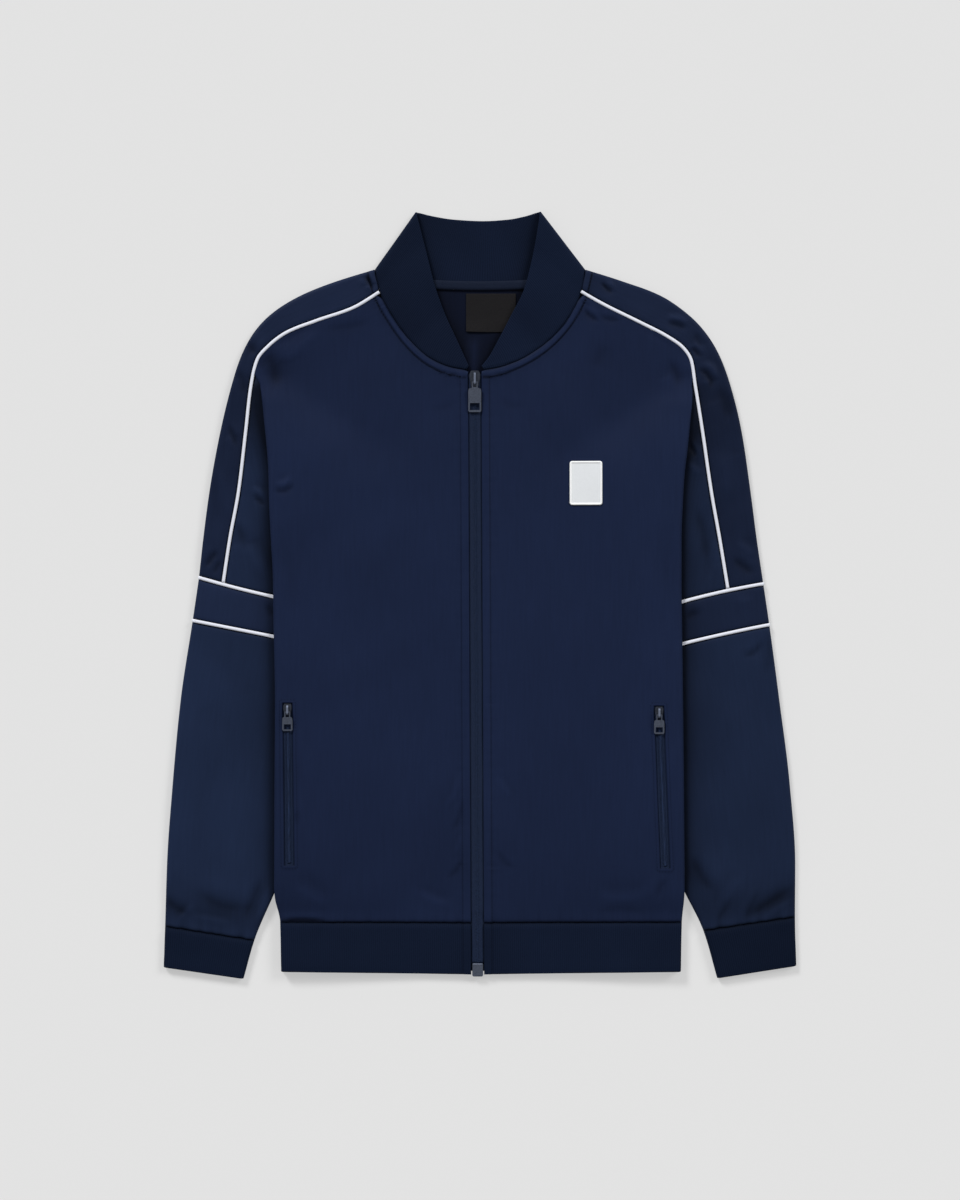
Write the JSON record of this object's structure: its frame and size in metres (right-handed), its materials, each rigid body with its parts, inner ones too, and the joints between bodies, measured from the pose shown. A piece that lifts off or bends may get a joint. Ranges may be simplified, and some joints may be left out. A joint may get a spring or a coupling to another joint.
{
  "type": "track jacket",
  "caption": "Zipped track jacket with a rib collar, laid flat on its back, sleeves brought down beside the body, with contrast piping along its stripe panels and sleeve bands.",
  "frame": {"origin": "the middle of the box round the whole jacket, at the height of the surface it lies on", "axes": "+X runs across the jacket to the wearer's left, +Y up from hem to collar, +Z up from the surface, out of the jacket's front"},
  "size_m": [0.634, 0.7692, 0.0202],
  "materials": {
    "body_tricot": "navy polyester tricot, smooth with a soft satin sheen",
    "sleeve_tricot": "the same navy tricot on the sleeves",
    "stripe_tricot": "the same navy tricot, a shade darker",
    "rib": "dark navy doubled rib knit",
    "zip_tape": "woven navy tape",
    "coil": "navy coil",
    "hardware": "satin grey metal",
    "piping": "off-white corded piping",
    "patch": "pale woven patch with a raised rim, left bare",
    "label": "near-black woven label, left bare"
  },
  "bodies": {
    "garment": {"back": "body_tricot", "front_right": "body_tricot", "front_left": "body_tricot", "stripe_right": "stripe_tricot", "stripe_left": "stripe_tricot", "band_right": "stripe_tricot", "band_left": "stripe_tricot", "upper_sleeve_front_right": "sleeve_tricot", "upper_sleeve_front_left": "sleeve_tricot", "upper_sleeve_back_right": "sleeve_tricot", "upper_sleeve_back_left": "sleeve_tricot", "lower_sleeve_right": "sleeve_tricot", "lower_sleeve_left": "sleeve_tricot", "cuff_right": "rib", "cuff_left": "rib", "collar": "rib", "hem_rib_right": "rib", "hem_rib_left": "rib", "hem_rib_back": "rib", "neck_tape": "zip_tape", "label": "label", "piping_long_front_right": "piping", "piping_long_front_left": "piping", "piping_long_back_right": "piping", "piping_long_back_left": "piping", "piping_band_upper_right": "piping", "piping_band_upper_left": "piping", "piping_band_lower_right": "piping", "piping_band_lower_left": "piping", "zip_tape_right": "zip_tape", "zip_tape_left": "zip_tape", "zip_coil": "coil", "zip_slider": "hardware", "zip_box": "hardware", "pocket_tape_right": "zip_tape", "pocket_tape_left": "zip_tape", "pocket_coil_right": "coil", "pocket_coil_left": "coil", "pocket_slider_right": "hardware", "pocket_slider_left": "hardware", "chest_patch": "patch"},
    "front_pull": {"zip_pull": "hardware"},
    "right_pocket_pull": {"pocket_pull_right": "hardware"},
    "left_pocket_pull": {"pocket_pull_left": "hardware"}
  },
  "joints": [
    {"name": "front_pull_hinge", "type": "hinge", "parent": "garment", "child": "front_pull", "pos_m": [-0.00526, 0.21298, 0.01075], "axis": [-1, 0, 0], "range_deg": [0, 130]},
    {"name": "right_pocket_pull_hinge", "type": "hinge", "parent": "garment", "child": "right_pocket_pull", "pos_m": [-0.19222, -0.11678, 0.01815], "axis": [-1, 0, 0], "range_deg": [0, 130]},
    {"name": "left_pocket_pull_hinge", "type": "hinge", "parent": "garment", "child": "left_pocket_pull", "pos_m": [0.17886, -0.11978, 0.01799], "axis": [-1, 0, 0], "range_deg": [0, 130]}
  ]
}
